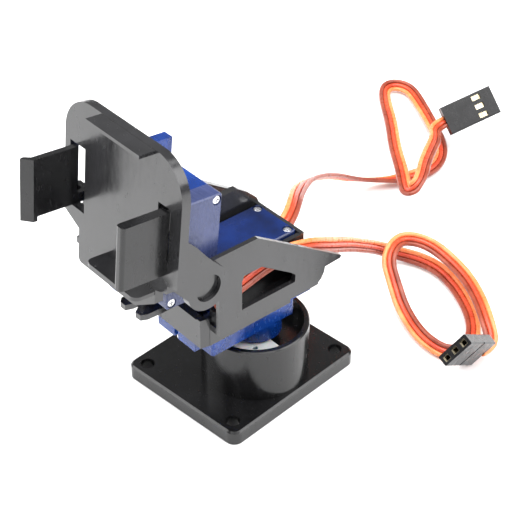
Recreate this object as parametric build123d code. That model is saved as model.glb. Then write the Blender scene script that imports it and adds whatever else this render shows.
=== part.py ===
from build123d import *
import os
from math import acos, cos, degrees, pi, radians, sin, sqrt, tan

os.makedirs("parts", exist_ok=True)

# Frame: millimetres, +Z up. The origin is the centre of the base plate's underside,
# -Y is the side the camera plate faces, +X is the side of the pivot ear.

# --- driving dimensions ---------------------------------------------------------
BASE_X, BASE_Y, BASE_T = 33.85, 39.33, 3.4
BASE_CORNER_R, BASE_BEVEL = 2.3, 0.45
BASE_HOLE_X, BASE_HOLE_Y = 26.8, 33.0
BASE_HOLE_R = 1.6
PAN_X = 4.0
COLLAR_R, COLLAR_BORE_R, COLLAR_TOP = 12.0, 10.8, 16.9
WEB_LOW, WEB_TOP = 10.1, 12.3
REST_PAN = -5.7

SERVO_FRONT, SERVO_BACK, SERVO_HALF_W = 5.9, -16.9, 6.1
SERVO_CAP_Z, SERVO_FLANGE_LOW, SERVO_FLANGE_TOP = 4.2, 15.9, 18.4
SERVO_CASE_TOP, SERVO_HUMP_TOP, SERVO_SHAFT_TOP = 22.7, 26.7, 29.7
FLANGE_FRONT, FLANGE_BACK = 10.6, -21.6
FLANGE_HOLE_INSET, FLANGE_HOLE_R = 2.3, 1.0
SERVO_WALL = 1.1
HUMP_R, PIN_X, MOTOR_X = 5.9, -5.6, -10.7
PAN_CAP_Z = 41.44

TILT_Y, TILT_Z, REST_TILT = -24.3, 46.2, -5.7
TILT_CAP_X = 9.55

NEAR_IN, NEAR_OUT = 11.2, 12.25
FAR_IN, FAR_OUT = -17.5, -19.5
SEAM_NEAR, SEAM_FAR = -4.5, -4.7
WALL_BACK = 7.0
EAR_IN, EAR_OUT = 12.55, 14.56
PEG_R, EAR_HOLE_R = 2.92, 3.0

PLATE_FRONT, PLATE_BACK = 10.4, 8.4
PLATE_MID, PLATE_HALF_W, PLATE_TOP = -0.75, 18.2, 31.0
PLATE_CORNER_R = 8.0

LEAD_R = 1.8
PLUG_L, PLUG_W, PLUG_T = 15.0, 8.0, 2.7
CONTACT_PITCH, CONTACT_SIDE = 2.54, 1.5

# --- helpers --------------------------------------------------------------------


def box(x0, x1, y0, y1, z0, z1):
    return Pos((x0 + x1) / 2, (y0 + y1) / 2, (z0 + z1) / 2) * Box(x1 - x0, y1 - y0, z1 - z0)


def rod(x, y, z0, z1, r):
    return Pos(x, y, (z0 + z1) / 2) * Cylinder(r, z1 - z0)


def rod_x(y, z, x0, x1, r):
    return Pos((x0 + x1) / 2, y, z) * Rot(0, 90, 0) * Cylinder(r, x1 - x0)


def slab_x(points, x0, x1):
    """A flat profile of (y, z) points between two x planes."""
    face = Plane.YZ.offset(x0) * make_face(Polyline(*points, close=True))
    return extrude(face, amount=x1 - x0)


def slab_y(points, y0, y1):
    """A flat profile of (x, z) points between two y planes."""
    wire = Polyline(*[(x, y0, z) for x, z in points], close=True)
    return extrude(make_face(wire), amount=y1 - y0, dir=(0, 1, 0))


def slab_z(points, z0, z1):
    """A flat profile of (x, y) points between two z planes."""
    return extrude(Pos(0, 0, z0) * make_face(Polyline(*points, close=True)), amount=z1 - z0)


def join(shapes):
    whole = shapes[0]
    for shape in shapes[1:]:
        whole = whole + shape
    return whole


def group(shapes):
    return Compound(children=[shape.solids()[0] for shape in shapes])


def phillips(x, y, z, head_r, head_t, shank_r, length, up=True):
    """A pan-head cross screw; its head's bearing face is at z and the shank goes down."""
    way = 1 if up else -1
    head = rod(x, y, min(z, z + way * head_t), max(z, z + way * head_t), head_r)
    edge = head.edges().filter_by(GeomType.CIRCLE)
    edge = edge.sort_by(Axis.Z)[-1] if up else edge.sort_by(Axis.Z)[0]
    head = fillet(edge, head_t * 0.45)
    shank = rod(x, y, min(z, z - way * length), max(z, z - way * length), shank_r)
    slot_w = head_r * 0.3
    slot_h = head_t * 0.5
    top = z + way * head_t
    low, high = min(top, top - way * slot_h), max(top, top - way * slot_h)
    cross = box(x - head_r * 0.6, x + head_r * 0.6, y - slot_w / 2, y + slot_w / 2, low, high)
    cross = cross + box(x - slot_w / 2, x + slot_w / 2, y - head_r * 0.6, y + head_r * 0.6, low, high)
    return head + shank - cross


def lay_x(shape):
    """Turns a piece made along Z so that its +Z points along -X."""
    return Rot(0, -90, 0) * shape


def gear_profile(teeth, module, tooth_at):
    """Straight-sided points on an involute tooth form, one tooth centred at tooth_at."""
    pressure = radians(24)
    pitch_r = teeth * module / 2
    base_r = pitch_r * cos(pressure)
    root_r, tip_r = pitch_r - 1.12 * module, pitch_r + 0.78 * module
    half = (pi / 2 - 0.22) / teeth
    inv_pitch = tan(pressure) - pressure
    points = []
    for tooth in range(teeth):
        centre = tooth_at + 2 * pi * tooth / teeth
        flank = []
        for step in (0.0, 0.35, 0.7, 1.0):
            r = max(root_r, base_r) + step * (tip_r - max(root_r, base_r))
            at_r = acos(min(1.0, base_r / r))
            flank.append((r, half + inv_pitch - (tan(at_r) - at_r)))
        flank.insert(0, (root_r, flank[0][1]))
        for r, off in flank:
            points.append((r * cos(centre - off), r * sin(centre - off)))
        for r, off in reversed(flank):
            points.append((r * cos(centre + off), r * sin(centre + off)))
    return points


def gear(teeth, module, tooth_at, x, z0, z1):
    return Pos(x, 0, 0) * slab_z(gear_profile(teeth, module, tooth_at), z0, z1)


# --- one 9 gram servo, shaft along +Z at the origin, cap face at z = 0 ----------------
# Tooth counts of the train from the motor to the output shaft.
PINION_T, FIRST_T = 7, 22
IDLER_SMALL_T, IDLER_BIG_T = 8, 24
LAST_SMALL_T, OUTPUT_T = 9, 23
FIRST_MODULE = 2 * (PIN_X - MOTOR_X) / (PINION_T + FIRST_T)
IDLER_MODULE = 2 * -PIN_X / (IDLER_SMALL_T + IDLER_BIG_T)
LAST_MODULE = 2 * -PIN_X / (LAST_SMALL_T + OUTPUT_T)
LEVEL_1, LEVEL_2, LEVEL_3, LEVEL_4 = (18.6, 19.4), (19.6, 20.4), (20.6, 21.4), (21.8, 23.2)
SHAFT_PIN_R, GEAR_PIN_R = 0.6, 0.5


def servo():
    front, back, half = SERVO_FRONT, SERVO_BACK, SERVO_HALF_W
    corners = [(x, y) for x in (front - 1.3, back + 1.3) for y in (half - 1.3, 1.3 - half)]
    inner = (back + SERVO_WALL, front - SERVO_WALL, SERVO_WALL - half, half - SERVO_WALL)
    lead_gap = box(front - 3, front + 1, -2.3, 2.3, SERVO_CAP_Z - 1.2, SERVO_CAP_Z + 1.2)
    posts = [rod(x, y, 0, SERVO_CASE_TOP - 0.2, 1.25) for x, y in corners]
    bores = join([rod(x, y, -1, SERVO_CASE_TOP - 1.6, 0.62) for x, y in corners])

    # bottom cap: a shallow tray with a screw post in each corner
    cap = box(back, front, -half, half, 0, SERVO_CAP_Z)
    cap = fillet(cap.edges().filter_by(Axis.Z), 0.6)
    cap = chamfer(cap.faces().sort_by(Axis.Z)[0].edges(), 0.25)
    cap = cap - box(*inner, 1.2, SERVO_CAP_Z + 1)
    cap = cap + join([post & box(back, front, -half, half, 0.6, SERVO_CAP_Z) for post in posts])
    cap = cap - bores - lead_gap
    cap = cap - join([rod(x, y, -1, 0.75, 1.05) for x, y in corners])

    # middle case with its two mounting ears
    case = box(back, front, -half, half, SERVO_CAP_Z, SERVO_FLANGE_TOP)
    case = fillet(case.edges().filter_by(Axis.Z), 0.6)
    case = case - box(*inner, SERVO_CAP_Z - 1, 17.2)
    case = case + join([post & box(back, front, -half, half, SERVO_CAP_Z, 17.8) for post in posts])
    ears = box(FLANGE_BACK, back + 0.5, -half, half, SERVO_FLANGE_LOW, SERVO_FLANGE_TOP)
    ears = ears + box(front - 0.5, FLANGE_FRONT, -half, half, SERVO_FLANGE_LOW, SERVO_FLANGE_TOP)
    case = case + ears
    for hole_x, end_x in (
        (FLANGE_FRONT - FLANGE_HOLE_INSET, FLANGE_FRONT),
        (FLANGE_BACK + FLANGE_HOLE_INSET, FLANGE_BACK),
    ):
        case = case - rod(hole_x, 0, SERVO_FLANGE_LOW - 1, SERVO_FLANGE_TOP + 1, FLANGE_HOLE_R)
        low_x, high_x = min(hole_x, end_x) - 0.2, max(hole_x, end_x) + 0.2
        case = case - box(low_x, high_x, -0.6, 0.6, SERVO_FLANGE_LOW - 1, SERVO_FLANGE_TOP + 1)
    case = case - bores - lead_gap
    case = case - rod(0, 0, 16, 19, 1.3) - rod(MOTOR_X, 0, 16, 19, 1.3)
    case = case - rod(PIN_X, 0, 16, 19, GEAR_PIN_R)

    # gear cover with the round hump over the output gear and a lobe over the idler
    top = box(back, front, -half, half, SERVO_FLANGE_TOP, SERVO_CASE_TOP)
    top = fillet(top.edges().filter_by(Axis.Z), 0.6)
    top = chamfer(top.faces().sort_by(Axis.Z)[-1].edges(), 0.3)
    top = top + rod(0, 0, SERVO_CASE_TOP - 1, SERVO_HUMP_TOP, HUMP_R)
    top = top + rod(PIN_X, 0, SERVO_CASE_TOP - 1, SERVO_HUMP_TOP - 1.8, 2.9)
    room = box(back + SERVO_WALL, front - SERVO_WALL, 1.05 - half, half - 1.05, 18, 21.7)
    top = top - room - rod(0, 0, 21, 25.4, 4.9) - rod(PIN_X, 0, 21, 23.9, 2.1)
    top = top + join([post & box(back, front, -half, half, SERVO_FLANGE_TOP, 21.8) for post in posts])
    top = top - bores - rod(0, 0, 25, 28, 2.42) - rod(PIN_X, 0, 23.5, 24.4, GEAR_PIN_R)

    screws = [
        phillips(x, y, 0.75, 0.98, 0.6, 0.58, 19.8, up=False) for x, y in corners
    ]

    motor = rod(MOTOR_X, 0, 3.4, 17.1, 4.85) & box(-16, -5, -4.6, 4.6, 3, 18)
    motor = motor + rod(MOTOR_X, 0, 17.0, 17.9, 1.2) - rod(MOTOR_X, 0, 15.5, 18, 0.5)
    hollow = (rod(MOTOR_X, 0, 4.0, 16.2, 4.3) & box(-16, -5, -4.05, 4.05, 3, 17)) - rod(MOTOR_X, 0, 3, 17, 2.4)
    vents = box(MOTOR_X - 3.9, MOTOR_X - 2.7, -1, 1, 3, 4.5) + box(MOTOR_X + 2.7, MOTOR_X + 3.9, -1, 1, 3, 4.5)
    motor = motor - join(posts) - hollow - vents
    board = box(-5.2, 4.5, -4.4, 4.4, 6.2, 7.2) + box(-3.5, 0.5, -2, 2, 7.2, 8.4)
    board = board + box(1.5, 3.5, -3.2, -1.6, 7.2, 7.9) + box(1.5, 3.5, 1.6, 3.2, 7.2, 7.9)
    board = board - join(posts)
    pot = rod(0, 0, 11.2, 16.9, 4.4) + rod(0, 0, 16.9, 17.8, 1.15)
    pot = pot - rod(0, 0, 12.2, 18, SHAFT_PIN_R + 0.06)
    pot = pot + box(-4.7, -3.0, -1.5, 1.5, 9.8, 13)

    pin = rod(PIN_X, 0, 17.25, 24.35, GEAR_PIN_R - 0.01)

    spindle_bore = 0.08
    pinion = gear(PINION_T, FIRST_MODULE, 0, MOTOR_X, *LEVEL_1) + rod(MOTOR_X, 0, 15.6, 18.7, 0.44)
    gear_1 = gear(FIRST_T, FIRST_MODULE, pi + pi / FIRST_T, PIN_X, *LEVEL_1)
    gear_1 = gear_1 + gear(IDLER_SMALL_T, IDLER_MODULE, 0, PIN_X, LEVEL_1[1], LEVEL_2[1])
    gear_1 = gear_1 - rod(PIN_X, 0, 18, 21, GEAR_PIN_R + spindle_bore)
    gear_2 = gear(IDLER_BIG_T, IDLER_MODULE, pi + pi / IDLER_BIG_T, 0, *LEVEL_2)
    gear_2 = gear_2 + gear(IDLER_SMALL_T, IDLER_MODULE, pi, 0, LEVEL_2[1], LEVEL_3[1])
    gear_2 = gear_2 - rod(0, 0, 19, 22, SHAFT_PIN_R + spindle_bore)
    gear_3 = gear(IDLER_BIG_T, IDLER_MODULE, pi / IDLER_BIG_T, PIN_X, *LEVEL_3)
    gear_3 = gear_3 + gear(LAST_SMALL_T, LAST_MODULE, 0, PIN_X, LEVEL_3[1], LEVEL_4[1])
    gear_3 = gear_3 - rod(PIN_X, 0, 20, 24, GEAR_PIN_R + spindle_bore)
    output = gear(OUTPUT_T, LAST_MODULE, pi + pi / OUTPUT_T, 0, LEVEL_4[0], 23.3)
    output = output + rod(0, 0, 23.2, 27.3, 2.34) + rod(0, 0, 12.4, 22, SHAFT_PIN_R)
    spline = [
        (r * cos(2 * pi * k / 42), r * sin(2 * pi * k / 42))
        for k in range(42)
        for r in [2.34 if k % 2 else 2.14]
    ]
    output = output + slab_z(spline, 27.2, SERVO_SHAFT_TOP) - rod(0, 0, 24.5, 30, 0.8)
    return {
        "bottom_cap": cap,
        "middle_case": case,
        "top_case": top,
        "case_screws": screws,
        "motor": motor,
        "circuit_board": board,
        "potentiometer": pot,
        "gear_pin": pin,
        "motor_pinion": pinion,
        "gear_1": gear_1,
        "gear_2": gear_2,
        "gear_3": gear_3,
        "output_gear": output,
    }


# --- where the two servos sit -----------------------------------------------------
pan_frame = Pos(PAN_X, 0, 0) * Rot(0, 0, REST_PAN)
tilt_frame = pan_frame * Pos(0, TILT_Y, TILT_Z) * Rot(REST_TILT, 0, 0)
# pan servo: shaft down, shaft end to the rear
pan_servo_at = pan_frame * Pos(0, 0, PAN_CAP_Z) * Rot(180, 0, 0) * Rot(0, 0, -90)
# tilt servo: shaft toward -X, shaft end at the bottom of the camera plate
tilt_servo_at = tilt_frame * Pos(TILT_CAP_X, 0, 0) * Rot(0, -90, 0) * Rot(0, 0, 180)

nodes = {}


def put(name, place, shape):
    if isinstance(shape, list):
        nodes[name] = group([place * one for one in shape])
    else:
        nodes[name] = place * shape


for servo_name, servo_place in (("pan", pan_servo_at), ("tilt", tilt_servo_at)):
    for piece_name, piece in servo().items():
        put(f"{servo_name}_{piece_name}", servo_place, piece)

# --- base: square plate, collar, web for the horn -----------------------------------
plate = box(-BASE_X / 2, BASE_X / 2, -BASE_Y / 2, BASE_Y / 2, 0, BASE_T)
plate = fillet(plate.edges().filter_by(Axis.Z), BASE_CORNER_R)
plate = chamfer(plate.faces().sort_by(Axis.Z)[-1].edges(), BASE_BEVEL)
base = plate + rod(PAN_X, 0, 0, COLLAR_TOP, COLLAR_R)
base = chamfer(base.edges().group_by(Axis.Z)[-1], 0.3)
base = base - rod(PAN_X, 0, WEB_TOP, COLLAR_TOP + 1, COLLAR_BORE_R)
base = base - rod(PAN_X, 0, -1, WEB_LOW, COLLAR_BORE_R - 0.6)
base = base - rod(PAN_X, 0, WEB_LOW - 1, WEB_TOP + 1, 3.65)
for hole_x in (-BASE_HOLE_X / 2, BASE_HOLE_X / 2):
    for hole_y in (-BASE_HOLE_Y / 2, BASE_HOLE_Y / 2):
        base = base - rod(hole_x, hole_y, -1, BASE_T + 1, BASE_HOLE_R)
HORN_SCREW_R, HORN_TURN = 6.6, -40
horn_frame = pan_frame * Rot(0, 0, HORN_TURN)
horn_pilots = join([horn_frame * rod(x, 0, WEB_LOW - 1, WEB_TOP + 0.01, 0.75)
                    for x in (-HORN_SCREW_R, HORN_SCREW_R)])
base = base - horn_pilots
put("base_plate", Pos(0, 0, 0), base)

# horn of the pan servo: a hub with two fan-shaped arms, resting on the web
HORN_REACH, HORN_FAN = 9.4, 41
fan = [(0, 0)] + [
    (HORN_REACH * cos(radians(a)), HORN_REACH * sin(radians(a))) for a in range(-HORN_FAN, HORN_FAN + 1, 2)
]
horn = rod(0, 0, 10.6, 14.35, 3.5)
for half_turn in (0, 180):
    horn = horn + Rot(0, 0, half_turn) * slab_z(fan, WEB_TOP, 13.9)
horn = horn - rod(0, 0, 11.6, 15, 2.38) - rod(0, 0, 10, 12, 0.85)
for x in (-HORN_SCREW_R, HORN_SCREW_R):
    horn = horn - rod(x, 0, 12, 15, 0.6)
put("pan_horn", horn_frame, horn)
put("pan_horn_screws", horn_frame, [
    phillips(x, 0, WEB_LOW, 1.5, 1.0, 0.58, 3.6, up=False) for x in (-HORN_SCREW_R, HORN_SCREW_R)
])
put("pan_center_screw", pan_frame, phillips(0, 0, 10.6, 1.9, 1.1, 0.75, 6.0, up=False))

# --- pan body: two moulded halves closed round the pan servo --------------------------
side_profile = [
    (-19.9, 30.0), (-19.9, 42.6), (-24.3, 42.6), (-24.3, 50.0), (-9.9, 50.0), (-9.1, 49.5),
    (1.2, 42.7), (13.4, 34.6), (13.2, 34.0), (8.8, 33.8), (8.6, 32.6), (7.8, 31.1), (6.7, 30.4),
    (4.4, 30.0),
]
window = [
    (-14.0, 34.0), (-14.0, 41.2), (-13.4, 42.4), (-8.8, 42.4), (-0.9, 37.0), (0.4, 35.8),
    (0.3, 34.0),
]
AXIS_BOSS_R = 4.0

near = slab_x(side_profile, NEAR_IN, NEAR_OUT) + rod_x(TILT_Y, TILT_Z, NEAR_IN, NEAR_OUT, AXIS_BOSS_R)
near = near - slab_x(window, NEAR_IN - 1, NEAR_OUT + 1)
near = near + rod_x(TILT_Y, TILT_Z, NEAR_OUT - 0.5, 13.6, PEG_R)
# skirt beside the servo, the ledge that carries the side plate and the wall behind the window
near = near + box(7.5, 9.15, -19.9, 2.0, 25.7, 31.6)
near = near + box(7.5, NEAR_OUT, -19.9, WALL_BACK, 30.0, 31.6)
near = near + box(8.6, NEAR_OUT, -19.4, -18.2, 30.0, 34.9)
near = near + box(6.3, 7.3, -12.0, WALL_BACK, 30.0, 40.6) + box(6.3, 7.6, -12.0, WALL_BACK, 30.0, 31.6)
# open box over the servo's front ear
near = near + box(SEAM_NEAR, 8.6, -22.0, -20.4, 25.7, 32.6)
near = near + slab_z([(7.5, -22.0), (8.6, -22.0), (9.15, -19.4), (9.15, -17.2), (7.5, -17.2)], 25.7, 32.9)
near = near + box(SEAM_NEAR, 8.0, -22.0, -17.2, 25.7, 27.1)
near = near + box(SEAM_NEAR, -1.8, -22.0, -20.4, 30.0, 35.0)
# forked cable hook at the front
hook = [
    (-4.4, -21.5), (-4.4, -22.2), (-6.2, -23.2), (-6.9, -26.5), (-7.6, -29.6), (-6.6, -30.6),
    (-5.0, -30.6), (-4.4, -29.0), (-4.3, -27.9), (-3.4, -27.8), (-2.7, -29.2), (-1.9, -30.3),
    (-0.4, -30.2), (0.3, -28.8), (0.5, -25.5), (0.4, -21.5),
]
near = near + slab_z(hook, 31.8, 33.2)
# cross wall behind the servo, floor over the rear ear
near = near + box(SEAM_NEAR, 7.3, 6.1, WALL_BACK, 30.0, 40.9)
near = near + box(6.0, NEAR_OUT, 6.1, WALL_BACK, 31.2, 36.0)
near = near + box(SEAM_NEAR, 5.6, 6.1, 10.4, 25.7, 27.1) + box(SEAM_NEAR, 5.6, 6.1, WALL_BACK, 25.7, 30.5)
near = near - box(-2.4, 2.4, 5.0, 8.0, 34.6, 39.4)
# screw bosses on the seam and pilots for the ear screws
seam_bosses = [(-18.8, 29.6), (9.0, 31.4)]
for boss_y, boss_z in seam_bosses:
    near = near + rod_x(boss_y, boss_z, SEAM_NEAR, -0.6, 1.6)
near = near + box(SEAM_NEAR, -0.6, 6.6, 9.0, 29.8, 33.0) + box(SEAM_NEAR, -0.6, -20.5, -18.8, 27.0, 31.2)
near = near + box(SEAM_NEAR, -0.6, -20.4, -17.2, 27.0, 29.6)
near = near - join([rod_x(y, z, SEAM_NEAR - 1, -1.4, 0.6) for y, z in seam_bosses])
EAR_SCREW_Y = (FLANGE_BACK + FLANGE_HOLE_INSET, FLANGE_FRONT - FLANGE_HOLE_INSET)
near = near - join([rod(0, y, 25, 28, 0.8) for y in EAR_SCREW_Y])
put("pan_half_near", pan_frame, near)

far = slab_x(side_profile, FAR_OUT, FAR_IN) + rod_x(TILT_Y, TILT_Z, FAR_OUT, FAR_IN, 5.6)
far = far - slab_x(window, FAR_OUT - 1, FAR_IN + 1)
far = far + box(FAR_OUT - 1.2, FAR_OUT, -24.3, -11.0, 43.4, 49.0)
far = far + rod_x(TILT_Y, TILT_Z, FAR_OUT - 1.2, FAR_OUT, 5.6)
inner_wall = [
    (-8.0, 30.0), (-8.0, 46.8), (1.0, 46.8), (3.8, 44.8), (6.4, 42.3), (WALL_BACK, 40.9), (WALL_BACK, 30.0),
]
far = far + slab_x(inner_wall, -8.7, -7.1)
far = far + box(FAR_OUT, -7.1, -8.0, WALL_BACK, 30.0, 31.6)
far = far + box(FAR_OUT, SEAM_FAR, 6.1, WALL_BACK, 30.0, 34.6)
far = far + box(-8.7, SEAM_FAR, 6.1, WALL_BACK, 25.7, 40.9)
far = far + box(-8.7, SEAM_FAR, -22.0, -20.4, 25.7, 32.6) + box(-8.7, -7.1, -22.0, WALL_BACK, 25.7, 31.6)
far = far + box(-8.7, SEAM_FAR, -22.0, -17.2, 25.7, 27.1) + box(-8.7, SEAM_FAR, 6.1, 10.4, 25.7, 27.1)
for boss_y, boss_z in seam_bosses:
    far = far + rod_x(boss_y, boss_z, -8.7, SEAM_FAR, 1.6)
far = far + box(-8.7, SEAM_FAR, 6.6, 9.0, 29.8, 33.0) + box(-8.7, SEAM_FAR, -20.5, -18.8, 27.0, 31.2)
far = far + box(-8.7, SEAM_FAR, -20.4, -17.2, 27.0, 29.6)
far = far - join([rod_x(y, z, -10, SEAM_FAR + 1, 0.8) for y, z in seam_bosses])
# pocket for the tilt horn's single arm
TILT_HORN_REACH = 12.0
horn_arm = [(0, -2.8), (TILT_HORN_REACH - 1.8, -1.8), (TILT_HORN_REACH - 1.8, 1.8), (0, 2.8)]
pocket_arm = [(0, -2.9), (TILT_HORN_REACH - 1.8, -1.9), (TILT_HORN_REACH - 1.8, 1.9), (0, 2.9)]


def horn_shape(points, end_r, hub_r, z0, z1, hub_z1):
    arm_part = slab_z(points, z0, z1) + rod(TILT_HORN_REACH - 1.8, 0, z0, z1, end_r)
    return arm_part + rod(0, 0, z0, hub_z1, hub_r)


# the horn's own frame: +Z along -X of the pan frame, +X toward the rear
horn_at = Pos(FAR_IN, TILT_Y, TILT_Z) * Rot(0, -90, 0) * Rot(0, 0, 90)
far = far - horn_at * horn_shape(pocket_arm, 1.9, 3.6, -1, 1.55, 8)
TILT_SCREW_AT = (6.0, 9.4)
far = far - join([horn_at * rod(x, 0, 1, 4, 0.7) for x in TILT_SCREW_AT])
put("pan_half_far", pan_frame, far)
tilt_horn = horn_shape(horn_arm, 1.8, 3.5, 0.05, 1.5, 3.5)
tilt_horn = tilt_horn - rod(0, 0, 0, 2.7, 2.38) - rod(0, 0, 2, 4, 0.85)
tilt_horn = tilt_horn - join([rod(x, 0, 0, 2, 0.55) for x in TILT_SCREW_AT])
put("tilt_horn", pan_frame * horn_at, tilt_horn)
put("tilt_horn_screws", pan_frame * horn_at, [
    phillips(x, 0, 3.2, 1.4, 0.9, 0.53, 2.9) for x in TILT_SCREW_AT
])
put("tilt_center_screw", pan_frame * horn_at, phillips(0, 0, 3.5, 1.9, 1.1, 0.75, 5.6))
seam_screws = [
    Pos(-8.7, y, z) * lay_x(phillips(0, 0, 0, 1.5, 1.0, 0.58, 6.6)) for y, z in seam_bosses
]
ear_screws = [phillips(0, y, 23.0, 1.7, 1.1, 0.78, 3.9, up=False) for y in EAR_SCREW_Y]
put("pan_half_screws", pan_frame, seam_screws)
put("pan_servo_screws", pan_frame, ear_screws)

# --- tilt bracket: camera plate, shelves, pivot ear, servo lugs (front is -Y here) -----
left, right = PLATE_MID - PLATE_HALF_W, PLATE_MID + PLATE_HALF_W
corner = PLATE_CORNER_R
outline = [
    (left, PLATE_TOP), (right, PLATE_TOP), (right, 5.0), (EAR_OUT, 4.4), (EAR_OUT, 2.6), (11.1, 1.6),
    (11.1, -1.6), (5.0, -5.5), (-13.9, -5.5), (-13.9, 2.2), (left, 4.6),
]
bracket = slab_y(outline, -PLATE_FRONT, -PLATE_BACK)
top_edges = bracket.edges().filter_by(Axis.Y).group_by(Axis.Z)[-1]
bracket = fillet(top_edges, corner)
bracket = fillet(bracket.edges().filter_by(Axis.Y).group_by(Axis.Z)[0], 1.2)
LEFT_SLOT, RIGHT_SLOT = (-17.2, -12.3), (10.65, 14.3)
bracket = bracket - box(*LEFT_SLOT, -11, -8, 6.4, 20.9) - box(*RIGHT_SLOT, -11, -8, 9.6, 21.0)
bracket = bracket + box(-7.5, 9.0, -14.0, -10.3, 30.1, 30.8)
shelf = box(-5.0, 11.0, -15.2, -10.3, 0.4, 1.2)
bracket = bracket + fillet(shelf.edges().filter_by(Axis.Z).sort_by(Axis.Y)[:2], 1.6)
bracket = bracket + box(-14.6, -13.5, -PLATE_FRONT, -PLATE_BACK, -1.4, 0.0)
# pivot ear: a diagonal arm ending round the peg; points are (y, z) with y = -(forward)
ear = [
    (-8.6, 14.6), (-5.8, 12.4), (-3.7, 10.6), (-1.1, 7.7), (0.6, 6.0), (2.4, 4.4), (4.6, 2.0),
    (3.0, -3.9), (0.8, -4.95), (-0.5, -4.9), (-2.7, -3.3), (-5.3, -0.8), (-8.6, 2.4),
]
ear_body = slab_x(ear, EAR_IN, EAR_OUT) + rod_x(0, 0, EAR_IN, EAR_OUT, 5.0)
bracket = bracket + ear_body - rod_x(0, 0, EAR_IN - 1, EAR_OUT + 1, EAR_HOLE_R)
# lugs behind the plate for the ears of the tilt servo
LUG_IN, LUG_OUT = -9.1, -11.0
lug = [
    (-8.6, -5.3), (-8.4, -6.4), (-4.4, -11.2), (1.5, -11.2), (1.5, -6.4), (-6.5, -6.4),
    (-6.5, 17.4), (1.5, 17.4), (1.5, 21.3), (-8.6, 21.3),
]
bracket = bracket + slab_x(lug, LUG_OUT, LUG_IN)
TILT_EAR_SCREW_Z = (-(FLANGE_FRONT - FLANGE_HOLE_INSET), -(FLANGE_BACK + FLANGE_HOLE_INSET))
bracket = bracket - join([rod_x(0, z, LUG_OUT - 1, LUG_IN + 1, 0.8) for z in TILT_EAR_SCREW_Z])
put("tilt_bracket", tilt_frame, bracket)
put("tilt_servo_screws", tilt_frame, [
    Pos(TILT_CAP_X - SERVO_FLANGE_LOW, 0, z) * Rot(0, 90, 0)
    * phillips(0, 0, 0, 1.7, 1.1, 0.78, 4.4) for z in TILT_EAR_SCREW_Z
])

# clamps: a finger plate, a tongue through the slot and a snap foot behind the camera plate
def clamp(inner_x, outer_x, front, low, tongue_low, tongue_high, foot_x):
    low_x, high_x = min(inner_x, outer_x), max(inner_x, outer_x)
    finger = box(low_x, high_x, -front, -PLATE_FRONT - 0.02, low, CLAMP_TOP)
    finger = fillet(finger.edges().filter_by(Axis.Z).sort_by(Axis.Y)[:2], 0.35 * (high_x - low_x))
    tongue_x = inner_x + (outer_x - inner_x) / (high_x - low_x)
    finger = finger + box(
        min(inner_x, tongue_x), max(inner_x, tongue_x), -PLATE_FRONT - 0.6, -6.9, tongue_low, tongue_high)
    foot_low, foot_high = min(foot_x, tongue_x), max(foot_x, tongue_x)
    return finger + box(foot_low, foot_high, -PLATE_BACK + 0.02, -6.9, tongue_low, tongue_high)


CLAMP_TOP, LEFT_LOW, RIGHT_LOW = 20.4, 7.65, 6.9
TIP_LOW = 6.6
slanted_tip = [(-14.7, -19.6), (-14.7, -20.5), (-16.7, -22.3), (-16.9, -21.4), (-16.0, -20.2), (-16.0, -19.6)]
left_clamp = clamp(-14.7, -16.0, 20.0, LEFT_LOW, LEFT_LOW, 9.9, -18.6)
left_clamp = left_clamp + slab_z(slanted_tip, TIP_LOW, CLAMP_TOP)
put("left_clamp", tilt_frame, left_clamp)
put("right_clamp", tilt_frame, clamp(12.0, 14.2, 21.0, RIGHT_LOW, 15.2, 19.5, 9.4))

# --- leads and plugs ---------------------------------------------------------------


def lead(points):
    corners = [Vector(*point) for point in points]
    radii = []
    for before, here, after in zip(corners, corners[1:], corners[2:]):
        turn = radians((here - before).get_angle(after - here))
        short = min((here - before).length, (after - here).length)
        radii.append(0.45 * short / tan(turn / 2))
    path = FilletPolyline(*points, radius=radii)
    start = Plane(origin=path @ 0, z_dir=path % 0)
    tube = sweep(start * Circle(LEAD_R), path=path)
    print("length", round(path.length, 1), "smallest radius", round(min(radii), 1))
    print("section times length over volume", round(pi * LEAD_R**2 * path.length / tube.volume, 4))
    return tube


pan_lead_route = [
    (4.7, 6.8, 37.2), (4.0, 10.4, 38.4), (0.8, 15.6, 38.2), (-4.4, 22.2, 35.2), (-12.0, 33.0, 29.0),
    (-19.0, 46.0, 21.0), (-24.5, 59.0, 12.5), (-27.0, 69.5, 5.2), (-25.0, 77.0, 2.2), (-21.0, 82.5, 1.9),
    (-18.3, 89.0, 1.9), (-18.6, 96.0, 1.9), (-23.0, 103.0, 1.9), (-32.5, 110.3, 1.9), (-42.5, 117.0, 1.9),
    (-49.0, 120.9, 1.9), (-53.4, 120.0, 2.0), (-54.2, 115.8, 2.5), (-49.0, 109.0, 3.8), (-37.0, 97.5, 5.8),
    (-27.0, 86.6, 7.4), (-18.0, 78.3, 8.6), (-11.6, 71.8, 9.2), (-8.4, 68.7, 10.4), (-6.4, 69.6, 13.0),
    (-7.8, 73.6, 14.0), (-11.5, 79.5, 13.2), (-15.5, 87.0, 11.8), (-19.4, 94.5, 10.0), (-24.0, 99.8, 8.2),
    (-24.9, 103.4, 8.0),
]
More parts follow.
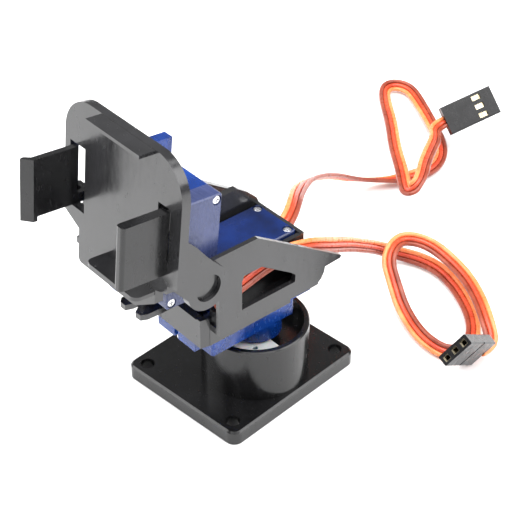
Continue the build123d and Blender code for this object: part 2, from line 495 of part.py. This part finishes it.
tilt_lead_route = [
    (11.1, -19.8, 36.8), (11.7, -15.8, 37.1), (12.2, -11.3, 38.3), (12.7, -6.4, 39.5), (13.3, 0.1, 39.8),
    (13.9, 6.0, 38.4), (13.5, 10.5, 36.0), (11.0, 18.5, 30.5), (6.5, 28.5, 23.0), (2.0, 38.5, 15.0),
    (-1.5, 47.5, 8.0), (-2.0, 53.5, 3.6), (0.5, 56.5, 2.0), (5.0, 58.2, 1.9), (10.5, 58.5, 1.9),
    (16.5, 56.5, 1.9), (22.0, 53.5, 1.9), (27.5, 49.5, 1.9), (32.0, 44.5, 1.9), (34.0, 39.0, 1.9),
    (32.2, 35.0, 1.9), (28.3, 34.3, 1.9), (22.5, 35.5, 1.9), (14.5, 39.5, 2.4), (9.0, 43.0, 4.8),
    (5.0, 45.0, 8.2), (3.0, 49.0, 9.6), (2.0, 54.0, 9.0), (4.5, 57.5, 8.0), (8.5, 59.0, 7.0),
    (14.0, 58.0, 6.6), (21.0, 55.5, 6.4), (28.0, 51.0, 6.4), (34.0, 46.0, 6.2), (37.6, 43.6, 3.8),
    (37.7, 40.4, 3.4),
]
nodes["pan_lead"] = lead(pan_lead_route)
nodes["tilt_lead"] = lead(tilt_lead_route)


def plug(place):
    """A three-way socket housing, its wires entering at local x = 0, sockets at x = length."""
    body = box(0, PLUG_L, -PLUG_W / 2, PLUG_W / 2, -PLUG_T / 2, PLUG_T / 2)
    body = fillet(body.edges().filter_by(Axis.X), 0.3)
    body = body - box(6.9, 7.5, -PLUG_W, PLUG_W, -PLUG_T, 0.35 - PLUG_T / 2)
    sleeves = []
    for row in (-CONTACT_PITCH, 0, CONTACT_PITCH):
        half = CONTACT_SIDE / 2
        body = body - box(2.5, PLUG_L + 1, row - half, row + half, -half, half)
        body = body - box(9.0, 11.6, row - 0.7, row + 0.7, 0, PLUG_T)
        sleeve = box(2.6, PLUG_L - 0.6, row - half + 0.02, row + half - 0.02, 0.02 - half, half - 0.02)
        sleeve = sleeve - box(5.0, PLUG_L, row - half + 0.22, row + half - 0.22, 0.22 - half, half - 0.22)
        sleeves.append(place * sleeve)
    return place * body, sleeves


def aimed(rear, ahead, flat_up):
    """A frame with +X from rear toward ahead and +Z as near flat_up as it can be."""
    x_axis = (Vector(*ahead) - Vector(*rear)).normalized()
    z_axis = Vector(*flat_up)
    z_axis = (z_axis - x_axis * x_axis.dot(z_axis)).normalized()
    return Plane(origin=rear, x_dir=x_axis, z_dir=z_axis).location


plug_places = {
    "pan": aimed((-24.2, 104.9, 8.4), (-17.9, 117.8, 12.6), (0.56, -0.55, 0.62)),
    "tilt": aimed((37.6, 38.8, 3.8), (39.1, 26.5, 12.2), (-0.913, 0.148, 0.38)),
}
for lead_name, place in plug_places.items():
    housing, sleeves = plug(place)
    nodes[f"{lead_name}_plug"] = housing
    nodes[f"{lead_name}_plug_contacts"] = group(sleeves)

for name, shape in nodes.items():
    if not isinstance(shape, Compound) or len(shape.solids()) == 1:
        shape = shape.solids()[0]
    shape.label = name
    export_step(shape, f"parts/{name}.step")
print(len(nodes), "nodes")
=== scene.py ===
from math import cos, pi, radians, sin

import bmesh
import bpy
from mathutils import Matrix, Vector


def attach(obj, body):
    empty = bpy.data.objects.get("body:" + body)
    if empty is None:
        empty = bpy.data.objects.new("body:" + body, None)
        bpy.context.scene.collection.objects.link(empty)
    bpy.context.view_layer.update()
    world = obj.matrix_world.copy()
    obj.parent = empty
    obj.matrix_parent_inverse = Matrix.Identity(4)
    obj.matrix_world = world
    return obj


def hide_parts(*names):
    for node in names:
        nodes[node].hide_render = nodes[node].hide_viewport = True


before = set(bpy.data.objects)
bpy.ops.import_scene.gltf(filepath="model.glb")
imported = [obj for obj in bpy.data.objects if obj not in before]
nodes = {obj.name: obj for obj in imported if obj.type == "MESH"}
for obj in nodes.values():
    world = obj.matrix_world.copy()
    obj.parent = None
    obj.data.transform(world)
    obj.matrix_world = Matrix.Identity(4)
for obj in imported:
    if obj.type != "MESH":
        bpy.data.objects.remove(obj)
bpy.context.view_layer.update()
MM = 0.001

# --- camera: a long lens from the front right, looking down -------------------------
CAMERA_AZIMUTH, CAMERA_ELEVATION, CAMERA_ROLL = 43.27, 37.09, 0.56
CAMERA_TARGET = Vector((-7.04, 13.46, 20.0)) * MM
CAMERA_DISTANCE = 333.24 * MM
LENS, SENSOR = 101.24, 36.0


def make_camera():
    azimuth, elevation = radians(CAMERA_AZIMUTH), radians(CAMERA_ELEVATION)
    away = Vector((sin(azimuth) * cos(elevation), -cos(azimuth) * cos(elevation), sin(elevation)))
    right = (-away).cross(Vector((0, 0, 1))).normalized()
    up = right.cross(-away)
    roll = radians(CAMERA_ROLL)
    right, up = right * cos(roll) + up * sin(roll), up * cos(roll) - right * sin(roll)
    data = bpy.data.cameras.new("camera")
    data.lens = LENS
    data.sensor_width = SENSOR
    data.sensor_fit = "HORIZONTAL"
    data.clip_start = 0.01
    camera = bpy.data.objects.new("camera", data)
    place = Matrix((right, up, away)).transposed().to_4x4()
    place.translation = CAMERA_TARGET + away * CAMERA_DISTANCE
    camera.matrix_world = place
    bpy.context.collection.objects.link(camera)
    bpy.context.scene.camera = camera


make_camera()

# --- materials ----------------------------------------------------------------------


class Paint:
    """Shorthand for building one procedural material."""

    def __init__(self, name):
        self.material = bpy.data.materials.new(name)
        self.material.use_nodes = True
        self.tree = self.material.node_tree
        self.tree.nodes.clear()
        self.shader = self.node("ShaderNodeBsdfPrincipled")
        self.output = self.node("ShaderNodeOutputMaterial")
        self.link(self.shader, "BSDF", self.output, "Surface")
        self.place = self.node("ShaderNodeNewGeometry")

    def node(self, kind, **settings):
        made = self.tree.nodes.new(kind)
        for key, value in settings.items():
            setattr(made, key, value)
        return made

    def link(self, source, out, target, into):
        self.tree.links.new(source.outputs[out], target.inputs[into])

    def set(self, **values):
        for key, value in values.items():
            self.shader.inputs[key.replace("_", " ")].default_value = value

    def noise(self, scale, detail=4.0, stretch=(1, 1, 1)):
        """Fine noise in metres of the object's own frame."""
        coordinates = self.node("ShaderNodeTexCoord")
        mapping = self.node("ShaderNodeMapping")
        mapping.inputs["Scale"].default_value = stretch
        self.link(coordinates, "Object", mapping, "Vector")
        noise = self.node("ShaderNodeTexNoise")
        noise.inputs["Scale"].default_value = scale
        noise.inputs["Detail"].default_value = detail
        self.link(mapping, "Vector", noise, "Vector")
        return noise

    def ramp(self, source, stops, out="Fac"):
        ramp = self.node("ShaderNodeValToRGB")
        elements = ramp.color_ramp.elements
        while len(elements) < len(stops):
            elements.new(0.5)
        for element, (position, value) in zip(elements, stops):
            element.position = position
            element.color = value if isinstance(value, tuple) else (value, value, value, 1)
        self.link(source, out, ramp, "Fac")
        return ramp

    def bump(self, source, strength, distance, out="Fac", before=None):
        bump = self.node("ShaderNodeBump")
        bump.inputs["Strength"].default_value = strength
        bump.inputs["Distance"].default_value = distance
        self.link(source, out, bump, "Height")
        if before is not None:
            self.link(before, "Normal", bump, "Normal")
        self.link(bump, "Normal", self.shader, "Normal")
        return bump


def colour(r, g, b):
    return (r, g, b, 1.0)


def black_plastic(name, dark=0.011, light=0.02, gloss=(0.16, 0.3), ior=1.62, waves=0.12):
    paint = Paint(name)
    cloud = paint.noise(180.0, 6.0)
    low_tint, high_tint = colour(dark, dark, dark * 1.08), colour(light, light, light * 1.1)
    tint = paint.ramp(cloud, [(0.3, low_tint), (0.72, high_tint)])
    paint.link(tint, "Color", paint.shader, "Base Color")
    scuff = paint.noise(900.0, 8.0, (1.0, 1.0, 0.35))
    rough = paint.ramp(scuff, [(0.35, gloss[0]), (0.75, gloss[1])])
    paint.link(rough, "Color", paint.shader, "Roughness")
    ripple = paint.noise(60.0, 2.0)
    first = paint.bump(ripple, waves, 0.0004)
    grain = paint.noise(4200.0, 3.0)
    paint.bump(grain, 0.05, 0.00004, before=first)
    paint.set(IOR=ior)
    return paint.material


def servo_blue(name, deep, bright, through, rough=(0.14, 0.34), scratches=0.25):
    paint = Paint(name)
    cloud = paint.noise(120.0, 4.0)
    tint = paint.ramp(cloud, [(0.32, colour(*deep)), (0.7, colour(*bright))])
    paint.link(tint, "Color", paint.shader, "Base Color")
    scratch = paint.noise(700.0, 9.0, (0.25, 2.2, 1.0))
    gloss = paint.ramp(scratch, [(0.4, rough[0]), (0.7, rough[1])])
    paint.link(gloss, "Color", paint.shader, "Roughness")
    paint.bump(scratch, scratches, 0.00006)
    paint.set(IOR=1.5, Transmission_Weight=through)
    return paint.material


def metal(name, dark, light, rough=(0.18, 0.34), brushed=(1, 1, 1)):
    paint = Paint(name)
    cloud = paint.noise(500.0, 5.0, brushed)
    tint = paint.ramp(cloud, [(0.3, colour(*dark)), (0.7, colour(*light))])
    paint.link(tint, "Color", paint.shader, "Base Color")
    gloss = paint.ramp(paint.noise(1500.0, 4.0, brushed), [(0.3, rough[0]), (0.75, rough[1])])
    paint.link(gloss, "Color", paint.shader, "Roughness")
    paint.bump(cloud, 0.08, 0.00003)
    paint.set(Metallic=1.0)
    return paint.material


def soft_plastic(name, dark, light, rough=(0.4, 0.6), glow=0.0):
    paint = Paint(name)
    cloud = paint.noise(260.0, 5.0)
    tint = paint.ramp(cloud, [(0.3, colour(*dark)), (0.72, colour(*light))])
    paint.link(tint, "Color", paint.shader, "Base Color")
    gloss = paint.ramp(paint.noise(1100.0, 5.0), [(0.35, rough[0]), (0.7, rough[1])])
    paint.link(gloss, "Color", paint.shader, "Roughness")
    paint.bump(paint.noise(2600.0, 4.0), 0.1, 0.00004)
    if glow:
        paint.set(Subsurface_Weight=glow, Subsurface_Scale=0.0012)
    return paint.material


BLACK = black_plastic("moulded_black_nylon")
BASE_BLACK = black_plastic("base_black_nylon", 0.003, 0.006, (0.17, 0.3), 1.5, 0.05)
CLAMP_BLACK = black_plastic("clamp_black_nylon", 0.005, 0.01, (0.18, 0.32), 1.48)
PLUG_BLACK = black_plastic("plug_black", 0.007, 0.014, (0.24, 0.4), 1.42)
BLUE_CASE = servo_blue("translucent_blue_case", (0.003, 0.03, 0.2), (0.01, 0.085, 0.46), 0.45,
                       scratches=0.12)
# painted shade: the pan servo's up-facing bottom cap gets a darker copy of the case blue, so the dimmer
# look of its top is put into its colour
BLUE_CAP_PAINTED_SHADE = servo_blue("blue_cap_painted_shade", (0.001, 0.008, 0.05), (0.004, 0.024, 0.15), 0.2, (0.06, 0.16), 0.3)
# a paler, greyer copy of the servo blue with rougher gloss, for the tilt servo's bottom cap
PALE_BLUE_CAP = servo_blue("pale_blue_cap", (0.035, 0.048, 0.13), (0.065, 0.085, 0.22), 0.1,
                           (0.2, 0.42), 0.22)
SCREW = metal("nickel_screw", (0.62, 0.62, 0.64), (0.85, 0.85, 0.87))
MOTOR_STEEL = metal("motor_can_steel", (0.42, 0.42, 0.43), (0.6, 0.6, 0.61), (0.28, 0.45), (1, 1, 6))
CONTACT = metal("plated_contact", (0.5, 0.42, 0.26), (0.78, 0.7, 0.5))
NYLON = soft_plastic("white_nylon", (0.68, 0.68, 0.66), (0.84, 0.84, 0.82), (0.35, 0.5), 0.25)
BOARD = soft_plastic("board_green", (0.01, 0.09, 0.03), (0.02, 0.16, 0.06))
SENSOR = soft_plastic("sensor_black", (0.02, 0.02, 0.022), (0.04, 0.04, 0.045))
WIRE_RED = soft_plastic("wire_red", (0.5, 0.05, 0.022), (0.66, 0.09, 0.035), (0.25, 0.42), 0.12)
WIRE_ORANGE = soft_plastic("wire_orange", (0.76, 0.2, 0.06), (0.92, 0.32, 0.12), (0.22, 0.4), 0.12)
WIRE_BROWN = soft_plastic("wire_brown", (0.2, 0.035, 0.018), (0.34, 0.07, 0.035), (0.25, 0.42), 0.12)


def repaint(material, *names):
    for name in names:
        item = nodes[name]
        item.data.materials.clear()
        item.data.materials.append(material)


repaint(BLACK, "pan_half_near", "pan_half_far", "tilt_bracket")
repaint(BASE_BLACK, "base_plate")
repaint(CLAMP_BLACK, "left_clamp", "right_clamp")
repaint(PLUG_BLACK, "pan_plug", "tilt_plug")
repaint(NYLON, "pan_horn", "tilt_horn")
repaint(CONTACT, "pan_plug_contacts", "tilt_plug_contacts")
# the pan bottom cap gets the darker, painted-shade copy of the servo blue
repaint(BLUE_CAP_PAINTED_SHADE, "pan_bottom_cap")
repaint(PALE_BLUE_CAP, "tilt_bottom_cap")
repaint(SCREW, "pan_horn_screws", "pan_center_screw", "pan_half_screws", "pan_servo_screws",
        "tilt_horn_screws", "tilt_center_screw", "tilt_servo_screws")
for servo in ("pan", "tilt"):
    repaint(BLUE_CASE, f"{servo}_middle_case", f"{servo}_top_case")
    repaint(SCREW, f"{servo}_case_screws", f"{servo}_gear_pin")
    repaint(MOTOR_STEEL, f"{servo}_motor")
    repaint(BOARD, f"{servo}_circuit_board")
    repaint(SENSOR, f"{servo}_potentiometer")
    for gear in ("motor_pinion", "gear_1", "gear_2", "gear_3", "output_gear"):
        repaint(NYLON, f"{servo}_{gear}")


def soften(name, width, segments=2, angle=32):
    """Rounds a moulding's sharp edges a little, without touching its own mesh."""
    bevel = nodes[name].modifiers.new("edge", "BEVEL")
    bevel.width = width * MM
    bevel.segments = segments
    bevel.limit_method = "ANGLE"
    bevel.angle_limit = radians(angle)
    bevel.harden_normals = True
    bevel.use_clamp_overlap = True


for name, width in (("base_plate", 0.3), ("pan_half_near", 0.12), ("pan_half_far", 0.12),
                    ("tilt_bracket", 0.14), ("left_clamp", 0.12), ("right_clamp", 0.12)):
    soften(name, width)

# --- ribbon leads ---------------------------------------------------------------------
WIRE_D = 1.2 * MM
WIRE_PITCH = 0.97 * WIRE_D
WIRE_SIDES = 8
LINE_ORDER, LINE_STEPS = 3, 8
NEARLY_VERTICAL = 0.05

PAN_ROUTE = [
    (4.7, 6.8, 37.2), (4.0, 10.4, 38.4), (0.8, 15.6, 38.2), (-4.4, 22.2, 35.2), (-12.0, 33.0, 29.0),
    (-19.0, 46.0, 21.0), (-24.5, 59.0, 12.5), (-27.0, 69.5, 5.2), (-25.0, 77.0, 2.2), (-21.0, 82.5, 1.9),
    (-18.3, 89.0, 1.9), (-18.6, 96.0, 1.9), (-23.0, 103.0, 1.9), (-32.5, 110.3, 1.9), (-42.5, 117.0, 1.9),
    (-49.0, 120.9, 1.9), (-53.4, 120.0, 2.0), (-54.2, 115.8, 2.5), (-49.0, 109.0, 3.8), (-37.0, 97.5, 5.8),
    (-27.0, 86.6, 7.4), (-18.0, 78.3, 8.6), (-11.6, 71.8, 9.2), (-8.4, 68.7, 10.4), (-6.4, 69.6, 13.0),
    (-7.8, 73.6, 14.0), (-11.5, 79.5, 13.2), (-15.5, 87.0, 11.8), (-19.4, 94.5, 10.0), (-24.0, 99.8, 8.2),
    (-24.9, 103.4, 8.0),
]
TILT_ROUTE = [
    (11.1, -19.8, 36.8), (11.7, -15.8, 37.1), (12.2, -11.3, 38.3), (12.7, -6.4, 39.5), (13.3, 0.1, 39.8),
    (13.9, 6.0, 38.4), (13.5, 10.5, 36.0), (11.0, 18.5, 30.5), (6.5, 28.5, 23.0), (2.0, 38.5, 15.0),
    (-1.5, 47.5, 8.0), (-2.0, 53.5, 3.6), (0.5, 56.5, 2.0), (5.0, 58.2, 1.9), (10.5, 58.5, 1.9),
    (16.5, 56.5, 1.9), (22.0, 53.5, 1.9), (27.5, 49.5, 1.9), (32.0, 44.5, 1.9), (34.0, 39.0, 1.9),
    (32.2, 35.0, 1.9), (28.3, 34.3, 1.9), (22.5, 35.5, 1.9), (14.5, 39.5, 2.4), (9.0, 43.0, 4.8),
    (5.0, 45.0, 8.2), (3.0, 49.0, 9.6), (2.0, 54.0, 9.0), (4.5, 57.5, 8.0), (8.5, 59.0, 7.0),
    (14.0, 58.0, 6.6), (21.0, 55.5, 6.4), (28.0, 51.0, 6.4), (34.0, 46.0, 6.2), (37.6, 43.6, 3.8),
    (37.7, 40.4, 3.4),
]


def centreline(name, route):
    """The smooth NURBS line that has the route's points as its control points."""
    data = bpy.data.curves.new(name, "CURVE")
    data.dimensions = "3D"
    data.resolution_u = LINE_STEPS
    spline = data.splines.new("NURBS")
    spline.points.add(len(route) - 1)
    for point, place in zip(spline.points, route):
        point.co = (*(Vector(place) * MM), 1)
    spline.order_u = LINE_ORDER
    spline.use_endpoint_u = True
    curve = bpy.data.objects.new(name, data)
    bpy.context.collection.objects.link(curve)
    bpy.context.view_layer.update()
    mesh = bpy.data.meshes.new_from_object(curve)
    line = [vertex.co.copy() for vertex in mesh.vertices]
    bpy.data.objects.remove(curve)
    bpy.data.meshes.remove(mesh)
    return line


def turn_at(share, twists):
    """The flat side's turn in degrees at a share of the lead's length, eased between the twists."""
    turn = 0.0
    for (start, low), (end, high) in zip(twists, twists[1:]):
        if start <= share <= end:
            blend = (share - start) / (end - start)
            blend = blend * blend * (3 - 2 * blend)
            turn = low + (high - low) * blend
    return turn


def ribbon(name, line, twists, ride_on):
    """Three wires side by side, swept along the line; twists turn the flat side, in degrees."""
    mesh = bmesh.new()
    count = len(line)
    tangents = []
    for index in range(count):
        ahead = line[min(index + 1, count - 1)] - line[max(index - 1, 0)]
        tangents.append(ahead.normalized())
    rings = []
    for index, (point, tangent) in enumerate(zip(line, tangents)):
        share = index / (count - 1)
        side = tangent.cross(Vector((0, 0, 1)))
        side = side.normalized() if side.length > NEARLY_VERTICAL else Vector((1, 0, 0))
        side = Matrix.Rotation(radians(turn_at(share, twists)), 3, tangent) @ side
        over = tangent.cross(side)
        ring = []
        for wire in (-1, 0, 1):
            middle = point + side * (wire * WIRE_PITCH)
            ring.append([
                mesh.verts.new(middle + (side * cos(a) + over * sin(a)) * WIRE_D * 0.5)
                for a in [2 * pi * k / WIRE_SIDES for k in range(WIRE_SIDES)]
            ])
        rings.append(ring)
    for before, after in zip(rings, rings[1:]):
        for wire in range(3):
            for k in range(WIRE_SIDES):
                k2 = (k + 1) % WIRE_SIDES
                face = mesh.faces.new((before[wire][k], after[wire][k], after[wire][k2], before[wire][k2]))
                face.material_index = wire
                face.smooth = True
    for ring, flip in ((rings[0], False), (rings[-1], True)):
        for wire in range(3):
            loop = ring[wire] if not flip else list(reversed(ring[wire]))
            mesh.faces.new(loop).material_index = wire
    bmesh.ops.recalc_face_normals(mesh, faces=mesh.faces)
    data = bpy.data.meshes.new(name)
    mesh.to_mesh(data)
    mesh.free()
    for material in (WIRE_ORANGE, WIRE_RED, WIRE_BROWN):
        data.materials.append(material)
    made = bpy.data.objects.new(name, data)
    bpy.context.collection.objects.link(made)
    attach(made, ride_on)
    return made


# (share of the lead's length, turn of its flat side in degrees)
PAN_TWISTS = [
    (0.0, 25.0), (0.08, 18.0), (0.14, -30.0), (0.25, -25.0), (0.32, 45.0), (0.4, 0.0),
    (0.53, -45.0), (0.6, 0.0), (0.73, 5.0), (0.78, 55.0), (0.84, 20.0), (1.0, 25.0),
]
TILT_TWISTS = [
    (0.0, 45.0), (0.1, 45.0), (0.18, 72.0), (0.3, 75.0), (0.4, 38.0), (0.5, 0.0),
    (0.57, -50.0), (0.65, -18.0), (0.71, 0.0), (0.78, 52.0), (0.9, 18.0), (1.0, -30.0),
]
LEADS = {"pan": (PAN_ROUTE, PAN_TWISTS), "tilt": (TILT_ROUTE, TILT_TWISTS)}
# middle of each plug's rear face, where its wires go in
PLUG_REAR = {"pan": (-24.2, 104.9, 8.4), "tilt": (37.6, 38.8, 3.8)}
for lead_name, (route, twists) in LEADS.items():
    line = centreline(f"{lead_name}_centreline", route + [PLUG_REAR[lead_name]])
    piece = ribbon(f"{lead_name}_lead_ribbon", line, twists, "pan_head")
    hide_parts(f"{lead_name}_lead")


# --- floor and light ------------------------------------------------------------------
FLOOR_SIDE, FLOOR_DROP = 6.0, 0.0002


def make_floor():
    mesh = bpy.data.meshes.new("floor")
    half = FLOOR_SIDE / 2
    corners = [(-half, -half), (half, -half), (half, half), (-half, half)]
    mesh.from_pydata([(x, y, -FLOOR_DROP) for x, y in corners], [], [(0, 1, 2, 3)])
    floor = bpy.data.objects.new("floor", mesh)
    bpy.context.collection.objects.link(floor)
    paint = Paint("white_sweep")
    low_tint, high_tint = colour(0.9, 0.9, 0.9), colour(0.92, 0.92, 0.92)
    tint = paint.ramp(paint.noise(3.0, 2.0), [(0.3, low_tint), (0.7, high_tint)])
    paint.link(tint, "Color", paint.shader, "Base Color")
    paint.set(Roughness=0.9)
    mesh.materials.append(paint.material)


def make_light(name, place, aim, size, power):
    data = bpy.data.lights.new(name, "AREA")
    data.shape = "RECTANGLE"
    data.size, data.size_y = size
    data.energy = power
    lamp = bpy.data.objects.new(name, data)
    lamp.location = place
    lamp.rotation_euler = (Vector(aim) - Vector(place)).to_track_quat("-Z", "Y").to_euler()
    bpy.context.collection.objects.link(lamp)


make_floor()
make_light("overhead", (0.1, -0.1, 1.2), (0, 0, 0), (1.6, 1.6), 38.0)
make_light("left_bank", (-0.8, -0.6, 0.7), (0, 0, 0.03), (0.9, 0.9), 11.0)
make_light("right_bank", (0.8, 0.55, 0.75), (0, 0, 0.03), (0.8, 0.8), 9.0)

world = bpy.data.worlds.new("room")
world.use_nodes = True
world.node_tree.nodes["Background"].inputs["Color"].default_value = colour(1, 1, 1)
world.node_tree.nodes["Background"].inputs["Strength"].default_value = 0.35
bpy.context.scene.world = world
bpy.context.scene.view_settings.view_transform = "Standard"
